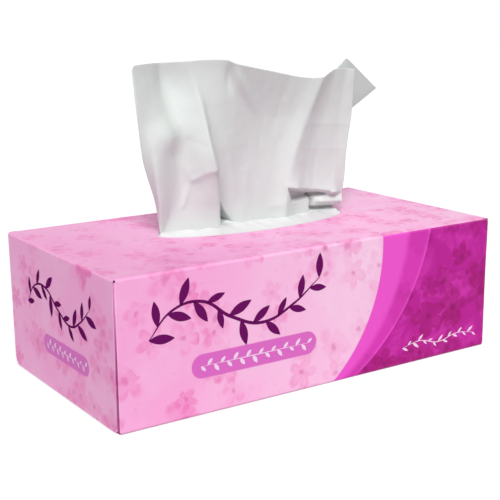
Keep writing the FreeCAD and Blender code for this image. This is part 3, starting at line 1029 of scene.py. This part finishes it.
# %% A tree of nodes that turns a curve into a leafy stem
STEM_INPUTS = (("stem width", "Float"), ("leaf length", "Float"), ("leaf width", "Float"),
               ("spacing", "Float"), ("spread", "Float"), ("seed", "Int"), ("ink", "Material"))
LEAF_POINTS = 11
STEM_FULLNESS, LEAF_FULLNESS = 0.5, 0.9
SMALLEST_LEAF, LARGEST_LEAF = 0.75, 1.15


def stem_nodes():
    """Leaves on both sides of a curve, with named inputs for their sizes."""
    tree = bpy.data.node_groups.new("leafy_stem", "GeometryNodeTree")
    tree.interface.new_socket("Geometry", in_out="INPUT", socket_type="NodeSocketGeometry")
    for name, kind in STEM_INPUTS:
        tree.interface.new_socket(name, in_out="INPUT", socket_type="NodeSocket" + kind)
    tree.interface.new_socket("Geometry", in_out="OUTPUT", socket_type="NodeSocketGeometry")
    given = tree.nodes.new("NodeGroupInput").outputs
    # The stem and one leaf.
    stem_ribbon = ribbon(tree, given["Geometry"], given["stem width"], STEM_FULLNESS)
    vein = geometry_node(tree, "CurvePrimitiveLine", Start=(0, 0, 0),
                         End=pair(tree, given["leaf length"], 0.0))
    veins = geometry_node(tree, "ResampleCurve", Curve=vein.outputs[0], Count=LEAF_POINTS)
    leaf = ribbon(tree, veins.outputs[0], given["leaf width"], LEAF_FULLNESS)
    # Where leaves grow, on which side, and how large each is.
    places = geometry_node(tree, "ResampleCurve", "LENGTH", Curve=given["Geometry"],
                           Length=given["spacing"])
    order = geometry_node(tree, "InputIndex").outputs[0]
    side = calc(tree, "MULTIPLY_ADD", calc(tree, "MODULO", order, 2.0), 2.0, -1.0)
    chance = tree.nodes.new("FunctionNodeRandomValue")
    chance.data_type = "FLOAT"
    for name, value in (("Min", SMALLEST_LEAF), ("Max", LARGEST_LEAF), ("Seed", given["seed"])):
        feed(tree, value, [i for i in chance.inputs if i.name == name and i.enabled][0])
    size = [o for o in chance.outputs if o.enabled][0]
    # Each leaf turns away from the stem's own direction.
    heading = tree.nodes.new("FunctionNodeAlignRotationToVector")
    heading.axis = "X"
    feed(tree, geometry_node(tree, "InputTangent").outputs[0], heading.inputs["Vector"])
    turned = tree.nodes.new("FunctionNodeRotateRotation")
    turned.rotation_space = "LOCAL"
    feed(tree, heading.outputs[0], turned.inputs["Rotation"])
    turn = times(tree, side, given["spread"], size)
    feed(tree, pair(tree, 0.0, 0.0, turn), turned.inputs["Rotate By"])
    leaves = geometry_node(tree, "InstanceOnPoints", Points=places.outputs[0], Instance=leaf,
                           Rotation=turned.outputs[0], Scale=pair(tree, size, size, size))
    both = tree.nodes.new("GeometryNodeJoinGeometry")
    feed(tree, stem_ribbon, both.inputs[0])
    feed(tree, leaves.outputs[0], both.inputs[0])
    real = geometry_node(tree, "RealizeInstances", Geometry=both.outputs[0])
    inked = geometry_node(tree, "SetMaterial", Geometry=real.outputs[0], Material=given["ink"])
    feed(tree, inked.outputs[0], tree.nodes.new("NodeGroupOutput").inputs[0])
    return tree


stem_tree = stem_nodes()
stem_sockets = {i.name: i.identifier for i in stem_tree.interface.items_tree if i.in_out == "INPUT"}
print("nodes in the stem tree:", len(stem_tree.nodes))

# %% Stems laid on the panels
PANELS = {
    # across and up on the panel, and the way that it faces
    "front": (Vector((1, 0, 0)), Vector((0, 0, 1)), Vector((0, -1, 0))),
    "left end": (Vector((0, -1, 0)), Vector((0, 0, 1)), Vector((-1, 0, 0))),
    "right end": (Vector((0, 1, 0)), Vector((0, 0, 1)), Vector((1, 0, 0))),
}
INK_LIFT = 0.06 * MM
CAST_FROM = 0.5


def ink(name, colour):
    """Dry ink without any gloss."""
    material, _, shader = new_material(name, 0.5, 0.0)
    shader.inputs["Base Color"].default_value = colour
    return material


PLUM_INK, PALE_INK = ink("plum_ink", PLUM), ink("pale_ink", srgb(246, 214, 240))
board_tree = BVHTree.FromObject(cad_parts["carton"], bpy.context.evaluated_depsgraph_get())


def stem(name, panel, path, material, **values):
    """A leafy stem through places on a panel, in millimetres."""
    curve = bpy.data.curves.new(name, "CURVE")
    curve.dimensions = "3D"
    line = curve.splines.new("BEZIER")
    line.bezier_points.add(len(path) - 1)
    line.resolution_u = 16
    for point, (a, b) in zip(line.bezier_points, path):
        point.co = (a * MM, b * MM, 0)
        point.handle_left_type = point.handle_right_type = "AUTO"
    guide = placed(name, curve)
    modifier = guide.modifiers.new("leaves", "NODES")
    modifier.node_group = stem_tree
    for key, value in values.items():
        key = key.replace("_", " ")
        modifier[stem_sockets[key]] = value if key in ("seed", "spread") else value * MM
    modifier[stem_sockets["ink"]] = material
    mesh = worked_in(guide)
    bpy.data.objects.remove(guide)
    across, up, facing = PANELS[panel]
    for vertex in mesh.vertices:
        place = across * vertex.co.x + up * vertex.co.y
        hit = board_tree.ray_cast(place + facing * CAST_FROM, -facing)[0]
        vertex.co = hit + facing * INK_LIFT
    for face in mesh.polygons:
        if face.normal.dot(facing) < 0:
            face.flip()
    piece = placed(name, mesh)
    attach(piece, "root")
    print(name, "faces:", len(mesh.polygons))


FRONT_STEM = [(-98, 42), (-86, 54), (-70, 56), (-54, 46), (-36, 40), (-18, 46), (-2, 57)]
END_STEM = [(-37, 41), (-28, 51), (-14, 53), (0, 45), (14, 40), (26, 45), (36, 53)]
stem("front_stem", "front", FRONT_STEM, PLUM_INK, stem_width=1.7, leaf_length=12, leaf_width=4.2,
     spacing=7.2, spread=0.85, seed=3)
stem("front_bar_stem", "front", [(-71, 24.4), (-40, 24.4), (-9, 24.4)], PALE_INK, stem_width=0.5,
     leaf_length=4.4, leaf_width=1.9, spacing=3.6, spread=0.9, seed=2)
stem("corner_stem", "front", [(54, 9.5), (66, 11.5), (80, 8.5), (93, 11), (105, 9.5)], PALE_INK,
     stem_width=0.5, leaf_length=4.6, leaf_width=1.4, spacing=3.6, spread=0.7, seed=9)
for end in ("left end", "right end"):
    name = end.replace(" ", "_")
    stem(name + "_stem", end, END_STEM, PLUM_INK, stem_width=1.3, leaf_length=10, leaf_width=3.6,
         spacing=5.6, spread=0.85, seed=8)
    stem(name + "_bar_stem", end, [(-15, 24.0), (7, 24.0), (29, 24.0)], PALE_INK, stem_width=0.4,
         leaf_length=3.4, leaf_width=1.5, spacing=2.9, spread=0.9, seed=5)

# %% [markdown]
# Floor, light and background. The floor and the sky are plain white to the
# camera, the sky lights the carton evenly from all round, and one broad lamp
# in front, a little to the left, gives the folds of the tissue their shade.
# A weak low lamp behind, without any glare, keeps the far sides from going dull.

# %% Floor
FLOOR_SIZE = 6.0
FLOOR_GREY, FLOOR_GLOW = 0.5, 0.6
floor = grid_mesh("floor", np.array([
    [(x, y, 0.0) for y in (-FLOOR_SIZE / 2, FLOOR_SIZE / 2)]
    for x in (-FLOOR_SIZE / 2, FLOOR_SIZE / 2)
]))


def seen_directly(tree):
    """1 for what the camera sees itself, in a gloss or through something clear, otherwise 0."""
    rays = tree.nodes.new("ShaderNodeLightPath").outputs
    return calc(tree, "MAXIMUM", rays["Is Camera Ray"],
                calc(tree, "MAXIMUM", rays["Is Glossy Ray"], rays["Is Transmission Ray"]))


def floor_material():
    """White paper that also shines a little towards the camera, so that it reads as white."""
    material, tree, shader = new_material("white_floor", 0.9, 0.0)
    shader.inputs["Base Color"].default_value = (FLOOR_GREY, FLOOR_GREY, FLOOR_GREY, 1)
    shader.inputs["Emission Color"].default_value = (1, 1, 1, 1)
    feed(tree, times(tree, seen_directly(tree), FLOOR_GLOW), shader.inputs["Emission Strength"])
    return material


floor.data.materials.append(floor_material())

# %% Light
SKY_LIGHT = 0.26
LAMPS = (
    # name, strength, degrees round from the front, height, softness, and whether it glares
    ("broad_lamp", 2.98, -30, 44, 25, True),
    ("back_lamp", 0.85, 150, 4, 8, False),
)

world = bpy.data.worlds.new("white_sky")
bpy.context.scene.world = world
world.use_nodes = True
sky = world.node_tree
background = sky.nodes["Background"].inputs
background["Color"].default_value = (1, 1, 1, 1)
sky_strength = calc(sky, "MULTIPLY_ADD", seen_directly(sky), 1 - SKY_LIGHT, SKY_LIGHT)
feed(sky, sky_strength, background["Strength"])

for name, strength, azimuth, height, softness, glares in LAMPS:
    lamp_data = bpy.data.lights.new(name, "SUN")
    lamp_data.energy = strength
    lamp_data.angle = math.radians(softness)
    lamp = placed(name, lamp_data)
    lamp.visible_glossy = glares
    towards_lamp = direction(math.radians(azimuth), math.radians(height))
    lamp.rotation_mode = "QUATERNION"
    lamp.rotation_quaternion = towards_lamp.to_track_quat("Z", "Y")
bpy.context.scene.view_settings.view_transform = "Standard"
print("lamps:", len(LAMPS))
